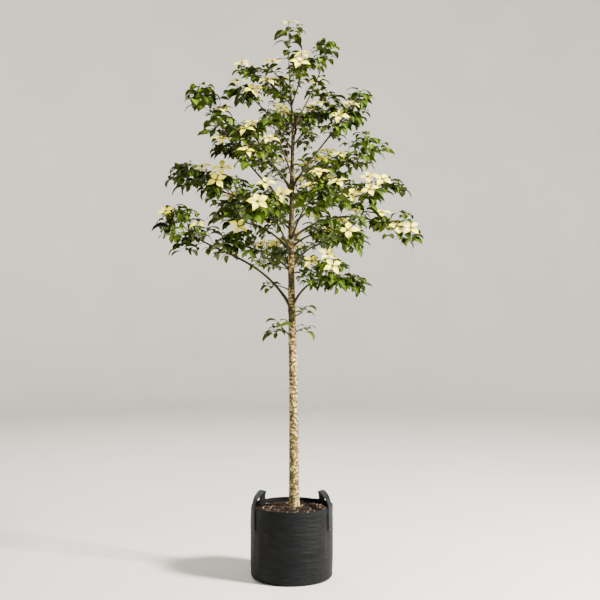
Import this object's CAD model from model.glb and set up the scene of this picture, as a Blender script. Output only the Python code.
"""A flowering dogwood in blossom, grown on one clear stem in a black fabric tree bag.

The plant is worked out in millimetres in the CAD's own frame and becomes metres where a mesh is made.
Turns are degrees round +Z: 0 is to the right (+X), 90 to the back, 180 to the left, 270 to the front.
"""

import math

import bmesh
import bpy
import numpy as np
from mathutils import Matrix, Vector, noise


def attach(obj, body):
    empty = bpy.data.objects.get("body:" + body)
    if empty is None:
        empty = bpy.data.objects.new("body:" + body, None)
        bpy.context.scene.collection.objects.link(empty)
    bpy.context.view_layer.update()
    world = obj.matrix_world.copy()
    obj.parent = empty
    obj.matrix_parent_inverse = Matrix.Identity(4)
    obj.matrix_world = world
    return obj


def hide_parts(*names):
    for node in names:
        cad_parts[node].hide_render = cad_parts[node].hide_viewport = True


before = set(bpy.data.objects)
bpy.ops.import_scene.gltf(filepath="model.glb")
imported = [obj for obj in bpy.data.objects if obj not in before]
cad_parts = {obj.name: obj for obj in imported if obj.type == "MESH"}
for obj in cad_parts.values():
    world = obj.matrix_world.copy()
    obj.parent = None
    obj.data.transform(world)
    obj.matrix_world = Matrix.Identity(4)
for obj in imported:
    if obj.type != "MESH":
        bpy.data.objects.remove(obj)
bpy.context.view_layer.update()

MM = 0.001
UP = np.array([0.0, 0.0, 1.0])


# ---- Vectors, chance and colour ----
def vector(x, y, z):
    return np.array([x, y, z], float)


def unit(v):
    v = np.asarray(v, float)
    return v / np.linalg.norm(v, axis=-1, keepdims=True)


def heading_of(turn):
    return vector(math.cos(math.radians(turn)), math.sin(math.radians(turn)), 0)


def chance(*keys):
    """The same keys always give the same number from 0 to 1, so every twig keeps its place."""
    weights = (12.9898, 78.233, 37.719, 53.317, 91.417, 27.173, 64.661, 43.337)
    wave = math.sin(sum((key + 1) * weight for key, weight in zip(keys, weights))) * 43758.5453
    return wave - math.floor(wave)


def linear(hex_colour):
    """An sRGB hex colour as the linear RGBA that shaders take."""
    parts = [int(hex_colour[i : i + 2], 16) / 255 for i in (1, 3, 5)]
    return [c / 12.92 if c <= 0.04045 else ((c + 0.055) / 1.055) ** 2.4 for c in parts] + [1.0]


# ---- Driving dimensions of the bag, the trunk and the limbs ----
BAG = {"radius": 200, "height": 352, "wall": 3, "foot_round": 20, "hem": 26}
SOIL = {"edge": 334, "mound": 344}
STRAP = {
    "width": 44, "thick": 2.4, "foot": 110, "arch": 64, "lean": 10, "half_turn": 32.5, "tilt": 2, "cup": 15,
    "gather": 0.26,
}
HANDLE_TURNS = {"handle_right": 9.5, "handle_left": 170.5}
CLEAR = 0.3

TRUNK = {"base": 344.3, "top": 2530, "foot_radius": 25, "tip_radius": 2, "flare": 4, "flare_height": 26}
TRUNK_TAPER = 1.35
TRUNK_AXIS = (  # height, then how far the axis stands off to the right and to the back
    (344.3, 11, 0),
    (870, 9, -3),
    (1200, 2, 2),
    (1600, -3, 0),
    (1900, 0, -4),
    (2230, 3, 2),
    (2450, -12, 0),
    (2530, -15, 3),
)
LEADER = {
    "length": 176, "whorls": (44, 124), "facing": 0.35, "sunk": 8, "radii": (3.4, 2.6, 2),
    "stalk_radii": (1.9, 1.7, 1.8), "pairs": 4, "leaves": 1.1, "tint": 0.3,
}
LEADER_SIDE = {  # the leading shoot's one side shoot
    "way": (0.8, 0.1, 0.25), "reach": 46, "from": 8, "lift": 20, "bow": 4, "radii": (1.7, 1.5, 1.2),
    "leaves": 0.8, "tint": 0.8,
}

TWIG = {
    "step": 94, "lift": 0.25, "sag": 0.06, "points": 7, "sides": 5, "end_radius": 1.5, "root_share": 0.55,
}
TIP_TWIG = {"from": 0.96, "past": 14, "radius_share": 0.5}
BLOOM = {
    "reach": 53, "stalk": 40, "stalk_lean": 0.3, "radii": (1.4, 1.7), "stray": 0.4, "rarity": 0.2,
    "bracts": 4, "apart": 1.8, "chance_facing": -0.3,
}
STEM_TIP_RADIUS = 2.6
STEM_STEPS = 5
SPACE_MARGIN = 4
LIMB_MARGIN = 8
ARMS = (0.4, 0.4)


def limb(name, start, turn, reach, rise, slopes, bare, radius, spread, blooms=(), tufts=(), arms=ARMS,
         young=0.12, flowers=True):
    """One limb: its height on the trunk, the way it heads and how far out and up its tip is.

    slopes are at the trunk and at the tip, and arms say how far each holds. bare is the share that is a
    clean bough, spread the length of the side twigs and young the share of fresh green sprays. blooms and
    tufts are across, up and forward in front view. A bloom's fourth number is how much it looks forwards,
    and a fifth is its number of bracts where that is not four. A limb with no named blooms bears some by
    chance, where it flowers.
    """
    return {
        "name": name, "start": start, "turn": turn, "reach": reach, "rise": rise, "slopes": slopes,
        "bare": bare, "radius": radius, "spread": spread, "blooms": blooms, "tufts": tufts, "arms": arms,
        "young": young, "flowers": flowers,
    }


LIMBS = (
    limb("left_low", 1306, 182, 572, 488, (62, 72), 0.42, 6.4, 108,
         blooms=((-610, 1778, 25, 0.6), (-455, 1716, 30, 0.4)), tufts=((-594, 1690, 10), (-536, 1612, 30)),
         arms=(0.5, 0.34), young=0.3),
    limb("left_low_inner", 1487, 197, 330, 140, (46, 12), 0.3, 4.6, 108,
         blooms=((-254, 1700, 50, 0.8), (-150, 1622, -20, 0.4)), tufts=((-292, 1596, 40), (-165, 1520, 20))),
    limb("left_middle", 1692, 170, 345, 80, (42, -6), 0, 4.2, 100),
    limb("left_high", 1715, 181, 530, 282, (44, 44), 0.3, 5.4, 92,
         blooms=((-436, 1996, 20, 0.5), (-339, 1992, 25, 0.8), (-360, 1926, 85, 0.9)),
         tufts=((-572, 1944, 25), (-516, 1926, 10))),
    limb("left_climber", 1790, 177, 448, 584, (46, 62), 0.42, 5, 88,
         blooms=((-335, 2284, 25, 0.5), (-350, 2135, 30, 0.4)),
         tufts=((-466, 2326, 25), (-400, 2172, 30), (-330, 2080, 50))),
    limb("left_front", 1890, 216, 300, 255, (50, 35), 0, 3.8, 96,
         blooms=((-212, 2056, 40, 0.5), (-186, 2190, -10, 0.4), (-214, 2146, 75, 0.5),
                 (-106, 2116, 30, 0.5))),
    limb("left_upper", 2083, 184, 255, 296, (56, 36), 0.3, 3.8, 88,
         blooms=((-265, 2410, 20, 0.4), (-187, 2366, 50, 0.7))),
    limb("left_top", 2300, 196, 222, 160, (45, 22), 0, 3, 70,
         blooms=((-240, 2490, 15, 0.45), (-114, 2408, 45, 0.5))),
    limb("left_crown", 2385, 172, 96, 95, (55, 50), 0, 2.8, 56, blooms=((-94, 2514, 20, 0.4),)),
    limb("front_left", 1560, 251, 450, 230, (46, 14), 0.3, 5, 108,
         blooms=((-114, 1874, 0, 0.6), (-44, 1834, 10, 0.85), (-146, 1786, 60, 0.9, 5)),
         tufts=((-200, 1766, 10),)),
    limb("front_right_low", 1311, 318, 380, 112, (62, -28), 0.34, 5.6, 104,
         blooms=((96, 1534, 5, 0.7), (170, 1566, 5, 0.75), (192, 1508, 75, 0.8)),
         tufts=((50, 1490, 0), (246, 1440, 30), (306, 1424, 0))),
    limb("front_right", 1640, 291, 412, 206, (48, 8), 0.3, 4.6, 104,
         blooms=((86, 1870, 25, 0.5), (124, 1932, -35, 0.45), (208, 1884, 0, 0.4)),
         tufts=((50, 1800, 10), (112, 1782, 60)), young=0.5),
    limb("front_upper", 1950, 244, 220, 250, (52, 48), 0, 3.8, 84),
    limb("front_crown", 2300, 303, 105, 165, (55, 62), 0, 3, 62,
         blooms=((49, 2534, -20, 0.45), (38, 2480, 50, 0.7))),
    limb("right_low", 1604, 338, 330, 50, (42, -14), 0.28, 4.8, 104, blooms=((269, 1680, 40, 0.8),),
         tufts=((284, 1592, 30),)),
    limb("right_long", 1643, 3, 570, 26, (44, -30), 0.34, 5.8, 104,
         blooms=((516, 1712, 10, 0.7), (580, 1700, 50, 0.8), (442, 1780, -10, 0.4))),
    limb("right_middle", 1707, 9, 530, 200, (50, 18), 0.3, 5.2, 104,
         blooms=((377, 1958, 0, 0.6), (445, 1942, 40, 0.65), (380, 1888, 80, 0.75), (297, 1866, 30, 0.8))),
    limb("right_high", 1830, 350, 420, 258, (48, 32), 0.3, 4.6, 96, blooms=((236, 2050, 40, 0.45),)),
    limb("right_climber", 1898, 1, 328, 462, (58, 60), 0.48, 5, 84,
         blooms=((232, 2240, 60, 0.8), (284, 2304, 15, 0.45)), tufts=((306, 2244, -10),)),
    limb("right_upper", 2100, 24, 205, 258, (52, 48), 0, 3.4, 82,
         blooms=((112, 2436, 0, 0.4), (130, 2314, 45, 0.4))),
    limb("right_leader", 2181, 356, 166, 412, (64, 80), 0.45, 3.6, 66, tufts=((150, 2540, 15),),
         flowers=False),
    limb("back_low", 1380, 96, 430, 240, (55, 25), 0.32, 5.2, 118),
    limb("back_right_low", 1500, 48, 470, 190, (50, 15), 0.32, 5.2, 118),
    limb("back_left_low", 1575, 140, 460, 215, (50, 20), 0.32, 5, 118),
    limb("back_right", 1765, 66, 410, 280, (50, 32), 0.3, 4.6, 108),
    limb("back_left", 1865, 121, 370, 280, (52, 35), 0.3, 4.4, 104),
    limb("back_high", 2010, 86, 290, 280, (54, 40), 0.3, 3.8, 96),
    limb("back_top", 2230, 128, 165, 210, (58, 55), 0, 3, 80),
    limb("shoot_middle", 1392, 196, 100, 34, (30, 10), 0, 2.4, 0),
    limb("shoot_bend", 1262, 332, 66, 40, (40, 60), 0, 2.2, 0),
    limb("shoot_left", 1166, 192, 62, 66, (45, 60), 0, 2.4, 0, tufts=((-92, 1206, 20),)),
    limb("shoot_right", 1184, 350, 56, 30, (35, 30), 0, 2.2, 0),
)


# ---- Meshes ----
def in_the_scene(name, data):
    """A new object for a mesh, a light or a camera."""
    made = bpy.data.objects.new(name, data)
    bpy.context.collection.objects.link(made)
    return made


class Skin:
    """Points in millimetres, faces and a place on the surface for each point, gathered into one mesh."""

    def __init__(self):
        self.points = []
        self.faces = []
        self.places = []
        self.count = 0

    def add(self, points, faces, places=None):
        points = np.asarray(points, float).reshape(-1, 3)
        self.points.append(points)
        self.faces += [np.asarray(group, int) + self.count for group in faces]
        self.places.append(np.zeros((len(points), 2)) if places is None else places)
        self.count += len(points)

    def object(self, name, sharp_angle=None):
        points = np.concatenate(self.points) * MM
        groups = [group for group in self.faces if len(group)]
        totals = np.concatenate([np.full(len(group), group.shape[1]) for group in groups])
        corners = np.concatenate([group.ravel() for group in groups])
        mesh = bpy.data.meshes.new(name)
        mesh.vertices.add(len(points))
        mesh.vertices.foreach_set("co", points.ravel())
        mesh.loops.add(len(corners))
        mesh.loops.foreach_set("vertex_index", corners)
        mesh.polygons.add(len(totals))
        mesh.polygons.foreach_set("loop_start", np.concatenate([[0], np.cumsum(totals)[:-1]]))
        mesh.update(calc_edges=True)
        places = np.concatenate(self.places)[corners]
        mesh.uv_layers.new(name="surface").data.foreach_set("uv", places.ravel())
        mesh.polygons.foreach_set("use_smooth", np.ones(len(totals), bool))
        if sharp_angle is not None:
            mesh.set_sharp_from_angle(angle=math.radians(sharp_angle))
        return in_the_scene(name, mesh)


def ring_faces(rings, sides, closed_ends=True):
    """Quads between rings that turn left-handed round their line, and a fan over each end."""
    i, j = np.meshgrid(np.arange(rings - 1), np.arange(sides), indexing="ij")
    a, b = i * sides + j, i * sides + (j + 1) % sides
    quads = np.stack([a, b, b + sides, a + sides], -1).reshape(-1, 4)
    if not closed_ends:
        return [quads]
    k = np.arange(1, sides - 1)
    last = (rings - 1) * sides
    start = np.stack([np.zeros_like(k), k + 1, k], -1)
    end = np.stack([np.full_like(k, last), last + k, last + k + 1], -1)
    return [quads, start, end]


def level_rings(radii, heights, sides):
    """Rings round the plant's axis, one for each radius and its height."""
    outwards = np.array([heading_of(360 * i / sides) for i in range(sides)])
    return outwards * np.asarray(radii)[:, None, None] + UP * np.asarray(heights)[:, None, None]


def tube_rings(line, radii, sides, sideways):
    """Rings round a line. Sideways is a direction that the line never runs along."""
    line = np.asarray(line, float)
    ahead = unit(np.gradient(line, axis=0))
    across = unit(np.cross(sideways, ahead))
    over = np.cross(ahead, across)
    angles = 2 * np.pi * np.arange(sides) / sides
    around = across[:, None] * np.cos(angles)[:, None] + over[:, None] * np.sin(angles)[:, None]
    radii = np.asarray(radii, float)
    radii = radii[:, None] if radii.ndim == 1 else radii
    return line[:, None] + around * radii[..., None]


def roughness_at(points, size, octaves=3):
    """Noise from about -1 to 1 with features of a size in millimetres."""
    flat = np.asarray(points, float).reshape(-1, 3) / size
    values = [noise.fractal(Vector(point), 0.9, 2.0, octaves) for point in flat]
    return np.array(values).reshape(np.asarray(points).shape[:-1])


# ---- Trunk ----
def trunk_radius(height):
    share = np.clip((height - TRUNK["base"]) / (TRUNK["top"] - TRUNK["base"]), 0, 1)
    taper = TRUNK["tip_radius"] + (TRUNK["foot_radius"] - TRUNK["tip_radius"]) * (1 - share**TRUNK_TAPER)
    return taper + TRUNK["flare"] * np.exp((TRUNK["base"] - height) / TRUNK["flare_height"])


def trunk_point(height):
    """The axis at a height, bending smoothly through the table's places."""
    table = np.array(TRUNK_AXIS)
    slopes = np.gradient(table[:, 1:], table[:, 0], axis=0)
    i = int(np.clip(np.searchsorted(table[:, 0], height) - 1, 0, len(table) - 2))
    step = table[i + 1, 0] - table[i, 0]
    t = (height - table[i, 0]) / step
    ends = (2 * t**3 - 3 * t**2 + 1) * table[i, 1:] + (3 * t**2 - 2 * t**3) * table[i + 1, 1:]
    bends = (t**3 - 2 * t**2 + t) * slopes[i] + (t**3 - t**2) * slopes[i + 1]
    right, back = ends + step * bends
    return vector(right, back, height)


TRUNK_SKIN = {"sides": 48, "step": 6, "sunk": 14, "full_relief_radius": 12}
BARK_RELIEF = ((34, 0.55), (9, 0.35))  # size of the feature and its height
COLLAR = {"height": 20, "swell": 0.34}
NODE_RING = {"from": 1180, "step": 118, "height": 5, "swell": 0.9}


def trunk_bark():
    """The trunk with its bark's relief, swollen where limbs leave it, up to the leading shoot's foot."""
    heights = np.arange(TRUNK["base"] - TRUNK_SKIN["sunk"], TRUNK["top"] + 1, TRUNK_SKIN["step"])
    line = np.array([trunk_point(max(height, TRUNK["base"])) for height in heights])
    line[:, 2] = heights
    radii = np.repeat(trunk_radius(heights)[:, None], TRUNK_SKIN["sides"], 1)
    rings = tube_rings(line, radii, TRUNK_SKIN["sides"], vector(0, 1, 0))
    outwards = unit(rings - line[:, None])
    for size, height in BARK_RELIEF:
        full = np.minimum(1, radii / TRUNK_SKIN["full_relief_radius"])
        radii += height * roughness_at(rings, size) * full
    for limb in limbs:
        facing = np.clip(outwards @ heading_of(limb["turn"]), 0, 1) ** 2
        above = (heights - limb["start"] - 0.5 * limb["radius"]) / COLLAR["height"]
        radii += COLLAR["swell"] * limb["radius"] * np.exp(-(above**2))[:, None] * facing
    for ring_height in np.arange(NODE_RING["from"], TRUNK["top"], NODE_RING["step"]):
        off = (heights - ring_height) / NODE_RING["height"]
        radii += NODE_RING["swell"] * np.exp(-(off**2))[:, None]
    skin = Skin()
    skin.add(line[:, None] + outwards * radii[..., None], ring_faces(len(rings), TRUNK_SKIN["sides"]))
    return skin.object("trunk_bark")


# ---- Limbs ----
LENGTH_STEPS = 41
STEM_TAPER = 0.8


def make_limb(spec, index):
    """A limb's numbers with its curve's corners, its length and its stem, the line that its twigs leave."""
    heading = heading_of(spec["turn"])
    start = trunk_point(spec["start"])
    tip = start + heading * spec["reach"] + UP * spec["rise"]
    arms = [arm * math.hypot(spec["reach"], spec["rise"]) for arm in spec["arms"]]
    leave, finish = [
        heading * math.cos(slope) + UP * math.sin(slope) for slope in map(math.radians, spec["slopes"])]
    corners = np.array([start, start + leave * arms[0], tip - finish * arms[1], tip])
    grown = dict(spec, index=index, corners=corners, sideways=vector(-heading[1], heading[0], 0))
    line = limb_points(grown, np.linspace(0, 1, LENGTH_STEPS))
    grown["length"] = float(np.linalg.norm(np.diff(line, axis=0), axis=1).sum())
    grown["stem"] = limb_points(grown, np.linspace(spec["bare"], 1, STEM_STEPS + 1))
    return grown


def limb_points(limb, shares):
    t = np.atleast_1d(shares)[:, None]
    a, b, c, d = limb["corners"]
    return a * (1 - t) ** 3 + 3 * b * t * (1 - t) ** 2 + 3 * c * t**2 * (1 - t) + d * t**3


def limb_heading(limb, share):
    ahead, behind = limb_points(limb, [min(share + 0.01, 1), share - 0.01])
    return unit(ahead - behind)


def limb_radius(limb, shares):
    return STEM_TIP_RADIUS + (limb["radius"] - STEM_TIP_RADIUS) * (1 - np.asarray(shares)) ** STEM_TAPER


def along_limb(limb, share):
    """The share of the whole limb at a share of its stem."""
    return limb["bare"] + (1 - limb["bare"]) * share


def on_stem(limb, share):
    reached = min(max(share, 0), 1) * STEM_STEPS
    piece = min(int(reached), STEM_STEPS - 1)
    start, end = limb["stem"][piece], limb["stem"][piece + 1]
    return start + (end - start) * (reached - piece)


limbs = [make_limb(spec, index) for index, spec in enumerate(LIMBS)]

BOUGH = {"sides": 12, "rings": 44, "flare": 0.5, "flare_length": 26, "tip_from": 0.75, "tip_loss": 0.55}
BOUGH_RELIEF = {"rough": 0.09, "size": 16, "knob": 0.12, "knob_step": 58, "knob_least": 0.7}


def boughs_bark():
    """Every limb from the trunk to its tip, flared where it leaves the trunk and knobbly at its nodes."""
    skin = Skin()
    for limb in limbs:
        shares = np.linspace(0, 1, BOUGH["rings"])
        line = limb_points(limb, shares)
        tip = np.clip((shares - BOUGH["tip_from"]) / (1 - BOUGH["tip_from"]), 0, 1)
        radii = limb_radius(limb, shares) * (1 - BOUGH["tip_loss"] * tip)
        out = np.maximum(shares * limb["length"] - trunk_radius(limb["start"]), 0)
        radii = radii * (1 + BOUGH["flare"] * np.exp(-out / BOUGH["flare_length"]))
        rings = tube_rings(line, radii, BOUGH["sides"], limb["sideways"])
        outwards = unit(rings - line[:, None])
        rough = BOUGH_RELIEF["rough"] * radii[:, None] * roughness_at(rings, BOUGH_RELIEF["size"])
        nodes = np.cos(shares * limb["length"] * 2 * math.pi / BOUGH_RELIEF["knob_step"])
        knobs = BOUGH_RELIEF["knob"] * radii * np.clip(nodes, BOUGH_RELIEF["knob_least"], 1)
        points = rings + outwards * (rough + knobs[:, None])[..., None]
        skin.add(points, ring_faces(BOUGH["rings"], BOUGH["sides"]))
    return skin.object("boughs_bark")


# ---- The space of each mass ----
def segments_of(lines):
    """The straight pieces of some lines: their starts, their ends and their line's number."""
    starts = np.concatenate([line[:-1] for line in lines])
    ends = np.concatenate([line[1:] for line in lines])
    owners = np.concatenate([np.full(len(line) - 1, i) for i, line in enumerate(lines)])
    return starts, ends, owners


def distances(points, starts, ends):
    """From every point to every straight piece."""
    points = np.atleast_2d(points)
    run = ends - starts
    share = ((points[:, None] - starts) * run).sum(-1) / (run * run).sum(-1)
    nearest = starts + np.clip(share, 0, 1)[..., None] * run
    return np.linalg.norm(points[:, None] - nearest, axis=-1)


leader_foot = trunk_point(TRUNK["top"])
leader_tip = leader_foot + UP * LEADER["length"]
STEMS = segments_of([limb["stem"] for limb in limbs] + [np.array([leader_foot, leader_tip])])
BARE_STEPS = 7
LEAST_BARE = 0.02
BARE = segments_of([
    limb_points(limb, np.linspace(0, max(limb["bare"], LEAST_BARE), BARE_STEPS)) for limb in limbs])
BARE_RADII = np.array([limbs[owner]["radius"] for owner in BARE[2]])
TRUNK_LEVELS = np.linspace(TRUNK["base"], TRUNK["top"], 18)
TRUNK_PIECES = segments_of([np.array([trunk_point(height) for height in TRUNK_LEVELS])])


def clear_of_bark(points, margin):
    points = np.atleast_2d(points)
    off_trunk = distances(points, *TRUNK_PIECES[:2]).min(1) - trunk_radius(points[:, 2]) > margin
    off_boughs = (distances(points, *BARE[:2]) > BARE_RADII + margin).all(1)
    return off_trunk & off_boughs


def in_own_space(points, index):
    away = distances(points, *STEMS[:2])
    own = STEMS[2] == index
    return away[:, own].min(1) + 2 * SPACE_MARGIN < away[:, ~own].min(1)


TRUNK_VIEW = {"front": -25, "top": 2340, "left": -18, "right": 24}


def hides_the_trunk(points):
    """The trunk stays in sight from the front between its lowest limb and the top tier."""
    x, y, z = np.atleast_2d(points).T
    beside = (x > TRUNK_VIEW["left"]) & (x < TRUNK_VIEW["right"])
    return (y < TRUNK_VIEW["front"]) & (z < TRUNK_VIEW["top"]) & beside


OPEN_SKY = ((-491, 2070, 36),)  # across, up and radius, in front view, of the places that no shoot reaches


def in_open_sky(points):
    x, _, z = points.T
    return np.any([np.hypot(x - across, z - up) < radius for across, up, radius in OPEN_SKY], axis=0)


def fits(points, index, margin=SPACE_MARGIN):
    points = np.atleast_2d(points)
    room = clear_of_bark(points, margin) & in_own_space(points, index)
    return bool((room & ~hides_the_trunk(points) & ~in_open_sky(points)).all())


# ---- Twigs: every shoot is recorded here first, then skinned ----
def sides_of(heading):
    """Two directions at right angles to a heading: one level, one upward."""
    level = np.cross(heading, UP)
    level = vector(1, 0, 0) if np.linalg.norm(level) < 0.05 else unit(level)
    return level, unit(np.cross(level, heading))


def turned_off(heading, angle, roll):
    """A heading turned off by an angle, towards the side at a roll from level."""
    level, upward = sides_of(heading)
    out = level * math.cos(roll) + upward * math.sin(roll)
    return heading * math.cos(angle) + out * math.sin(angle)


def bowed(start, end, sag, steps):
    """A curve from start to end that leaves low and lifts, as a twig does towards the light."""
    t = np.linspace(0, 1, steps)[:, None]
    return start + (end - start) * t - UP * sag * 4 * t * (1 - t)


twig_skin = Skin()
leaves = []  # base, the way it points, size, tint and limb
blooms = []  # centre, axis, spin, chance and number of bracts
QUARTER = math.pi / 2
SPUR = {
    "length": 42, "least": 0.6, "more": 0.6, "lift": 0.25, "angle": 54, "roll": 0.4, "sag": 2, "points": 4,
    "sides": 4, "radii": (1.2, 0.9), "rarity": 0.55, "shares": (0.36, 0.68), "least_twig": 46, "leaves": 0.68,
}
STEM_SPUR = {"step": 34, "length": 62, "least": 0.5, "angle": 60, "rarity": 0.66, "leaves": 0.66}
TRUNK_SPUR = {
    "from": 1900, "to": 2500, "step": 30, "round": 3, "length": 110, "least": 0.55, "more": 0.6,
    "shorter": 0.4, "turn": 137.5, "stray": 50, "lift": 0.5, "leaves": 0.9,
}
PAIR = {"angle": 60, "spread": 30, "roll": 0.7, "least_twig": 60, "rarity": 0.35, "leaves": 0.8}
SPRAY = {"step": 15, "growth": 0.08, "twist": 0.3, "lean": 0.5, "thick_share": 0.6}
SIDE_TWIG = {
    "from": 0.35, "high": 42, "low": -10, "tilt": 40, "angle": 48, "spread": 20, "shorter": 0.4,
    "least": 0.7, "more": 0.5,
}
LEAF_SIZE = {"least": 0.74, "more": 0.34, "by_trunk": 0.52, "gain": 1.25, "from": 0.15}
CROWN = {"reach": 290, "top": 2350, "foot": 1340, "foot_fade": 60, "foot_most": 0.65}


def leaf_size_at(point):
    """Leaves are small in the shade by the trunk and full size at the crown's edge."""
    out = np.linalg.norm((point - trunk_point(min(point[2], TRUNK["top"])))[:2]) / CROWN["reach"]
    above = max(0, point[2] - CROWN["top"]) / CROWN["reach"]
    below = min(CROWN["foot_most"], max(0, CROWN["foot"] - point[2]) / CROWN["foot_fade"])
    edge = min(1, max(0, max(out, above, below) * LEAF_SIZE["gain"] - LEAF_SIZE["from"]))
    return LEAF_SIZE["by_trunk"] + (1 - LEAF_SIZE["by_trunk"]) * edge


def add_wood(line, radii, sides, sideways):
    """A shoot's wood along a line, with a radius at each point or one at either end."""
    radii = radii if len(radii) == len(line) else np.linspace(*radii, len(line))
    twig_skin.add(tube_rings(line, radii, sides, sideways), ring_faces(len(line), sides))


def add_leaf_pair(base, heading, spin, size, tint, index, *keys):
    """Two opposite leaves, level or upright by their spin."""
    for side in (0, 1):
        roll = spin + math.pi * side + PAIR["roll"] * (chance(*keys, side, 3) - 0.5)
        angle = math.radians(PAIR["angle"] + PAIR["spread"] * (chance(*keys, side, 4) - 0.5))
        grown = size * leaf_size_at(base)
        grown *= LEAF_SIZE["least"] + LEAF_SIZE["more"] * chance(*keys, side, 5)
        leaves.append((base, turned_off(heading, angle, roll), grown, tint, index))


def add_spray(end, heading, pairs, size, tint, index, *keys):
    """The end of a shoot: crossed pairs so close together that all their leaves seem to leave one point."""
    spin = QUARTER * chance(*keys, 1)
    for pair in range(pairs):
        base = end - heading * SPRAY["step"] * pair * size
        grown = size * (1 + SPRAY["growth"] * pair)
        crossed = spin + QUARTER * (pair + SPRAY["twist"] * (pair // 2))
        add_leaf_pair(base, heading, crossed, grown, tint, index, *keys, pair)


def grow_spur(root, out, reach, size, tint, index, *keys):
    """A short side shoot that lifts to two crossed pairs of small leaves, where there is room."""
    tip = root + out * reach + UP * SPUR["lift"] * reach
    if fits([tip], index):
        line = bowed(root, tip, SPUR["sag"], SPUR["points"])
        add_wood(line, SPUR["radii"], SPUR["sides"], sides_of(out)[0])
        add_spray(tip, unit(tip - root), 2, size, tint, index, *keys)


def grow_twig(limb, root, end, root_radius, bloom, *keys):
    """A bowed twig with a leafy spray at its end, and a few short spurs and small leaves behind it."""
    index = limb["index"]
    length = float(np.linalg.norm(end - root))
    ahead = unit(end - root)
    line = bowed(root, end, TWIG["sag"] * length, TWIG["points"])
    add_wood(line, (root_radius, TWIG["end_radius"]), TWIG["sides"], sides_of(ahead)[0])
    tint = chance(*keys, 11)
    if length > PAIR["least_twig"] and chance(*keys, 12) > PAIR["rarity"]:
        add_leaf_pair(line[3], ahead, QUARTER * chance(*keys, 13), PAIR["leaves"], tint, index, *keys, 6)
    for i, share in enumerate(SPUR["shares"]):
        at = line[0] + (line[-1] - line[0]) * share - UP * 4 * TWIG["sag"] * length * share * (1 - share)
        for side in (0, 1):
            if length < SPUR["least_twig"] or chance(*keys, i + 5, side) < SPUR["rarity"]:
                continue
            roll = QUARTER * (i + SPUR["roll"]) + math.pi * side
            out = turned_off(ahead, math.radians(SPUR["angle"]), roll)
            reach = SPUR["length"] * (SPUR["least"] + SPUR["more"] * chance(*keys, i + 6, side))
            grow_spur(at, out, reach, SPUR["leaves"], tint, index, *keys, 2 * i + side)
    pairs = 3 if chance(*keys, 14) < SPRAY["thick_share"] else 2
    add_spray(end, unit(ahead * SPRAY["lean"] + UP), pairs, 1.0, tint, index, *keys, 7)
    if bloom is not None:
        centre, axis, bracts = bloom
        add_wood(bowed(end, centre - axis * 2, 2, 5), BLOOM["radii"], TWIG["sides"], vector(1, 0, 0))
        blooms.append((centre, axis, QUARTER * chance(*keys, 8), chance(*keys, 9), bracts))


def bloom_axis(facing, *keys):
    """The way a bloom looks: up, and forwards by its facing."""
    aside = BLOOM["stray"] * (chance(*keys, 1) - 0.5)
    return unit(vector(aside, -facing, math.sqrt(1 - facing * facing)))


ROOTS = {"from": 0.08, "span": 0.9, "steps": 16}  # the shares of a stem that named shoots may leave
RADIUS_STEPS = 20


def root_line(limb):
    shares = [ROOTS["from"] + ROOTS["span"] * i / ROOTS["steps"] for i in range(ROOTS["steps"] + 1)]
    return [on_stem(limb, share) for share in shares]


def from_front_view(line, spot):
    across, up, forward = spot[:3]
    nearest = min(line, key=lambda point: math.hypot(point[0] - across, point[2] - up))
    return vector(across, nearest[1] - forward, up)


def root_for(line, end, back):
    """The root of a shoot that ends at a point: the stem's nearest point, or some steps nearer the trunk."""
    nearest = min(range(len(line)), key=lambda i: np.linalg.norm(line[i] - end))
    return line[max(0, nearest - back)]


def twig_root_radius(limb, root):
    shares = [i / RADIUS_STEPS for i in range(RADIUS_STEPS + 1)]
    share = min(shares, key=lambda each: np.linalg.norm(on_stem(limb, each) - root))
    return TWIG["root_share"] * float(limb_radius(limb, along_limb(limb, share)))


def grow_named_shoots(limb):
    """The limb's blooms and tufts that have a place of their own, and the leaves at its tip."""
    index = limb["index"]
    line = root_line(limb)
    for i, spot in enumerate(limb["blooms"]):
        centre = from_front_view(line, spot)
        end = centre + vector(0, BLOOM["stalk"] * BLOOM["stalk_lean"], -BLOOM["stalk"])
        root = root_for(line, end, 1)
        bracts = spot[4] if len(spot) > 4 else BLOOM["bracts"]
        bloom = (centre, bloom_axis(spot[3], index, i), bracts)
        grow_twig(limb, root, end, twig_root_radius(limb, root), bloom, index, i, 3)
    for i, spot in enumerate(limb["tufts"]):
        end = from_front_view(line, spot)
        root = root_for(line, end, 3)
        grow_twig(limb, root, end, twig_root_radius(limb, root), None, index, i, 5)
    tip = limb_points(limb, 1)[0] + limb_heading(limb, 1) * TIP_TWIG["past"]
    radius = STEM_TIP_RADIUS * TIP_TWIG["radius_share"]
    grow_twig(limb, on_stem(limb, TIP_TWIG["from"]), tip, radius, None, index, 9)


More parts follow.
